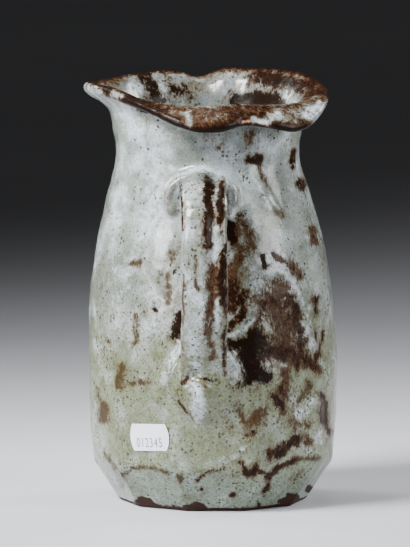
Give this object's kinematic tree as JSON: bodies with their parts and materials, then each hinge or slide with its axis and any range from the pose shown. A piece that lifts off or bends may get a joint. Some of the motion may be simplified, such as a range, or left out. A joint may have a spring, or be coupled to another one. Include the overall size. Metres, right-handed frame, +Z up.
{
  "type": "stoneware pitcher",
  "caption": "Hand-built stoneware pitcher with a bevelled foot, a full belly, a pinched lip with a pulled spout and a strap handle, for holding and pouring liquids.",
  "frame": {"origin": "centre of the base, on the surface that the pitcher stands on", "axes": "+Z up, the handle faces -Y, the spout points to -X"},
  "size_m": [0.1491, 0.1777, 0.2512],
  "materials": {
    "bare_clay": "unglazed, rough",
    "green_glaze": "glossy",
    "pale_glaze": "glossy",
    "brown_glaze": "glossy",
    "paper": "matte"
  },
  "bodies": {
    "root": {"floor_slab": "bare_clay", "foot_course": "green_glaze", "belly_course": "green_glaze", "shoulder_course": "pale_glaze", "neck_collar": "pale_glaze", "spout_lip": "brown_glaze", "round_lip": "brown_glaze", "handle_strap": "pale_glaze", "handle_collar": "pale_glaze", "handle_pad": "green_glaze", "lot_sticker": "paper"}
  },
  "joints": []
}
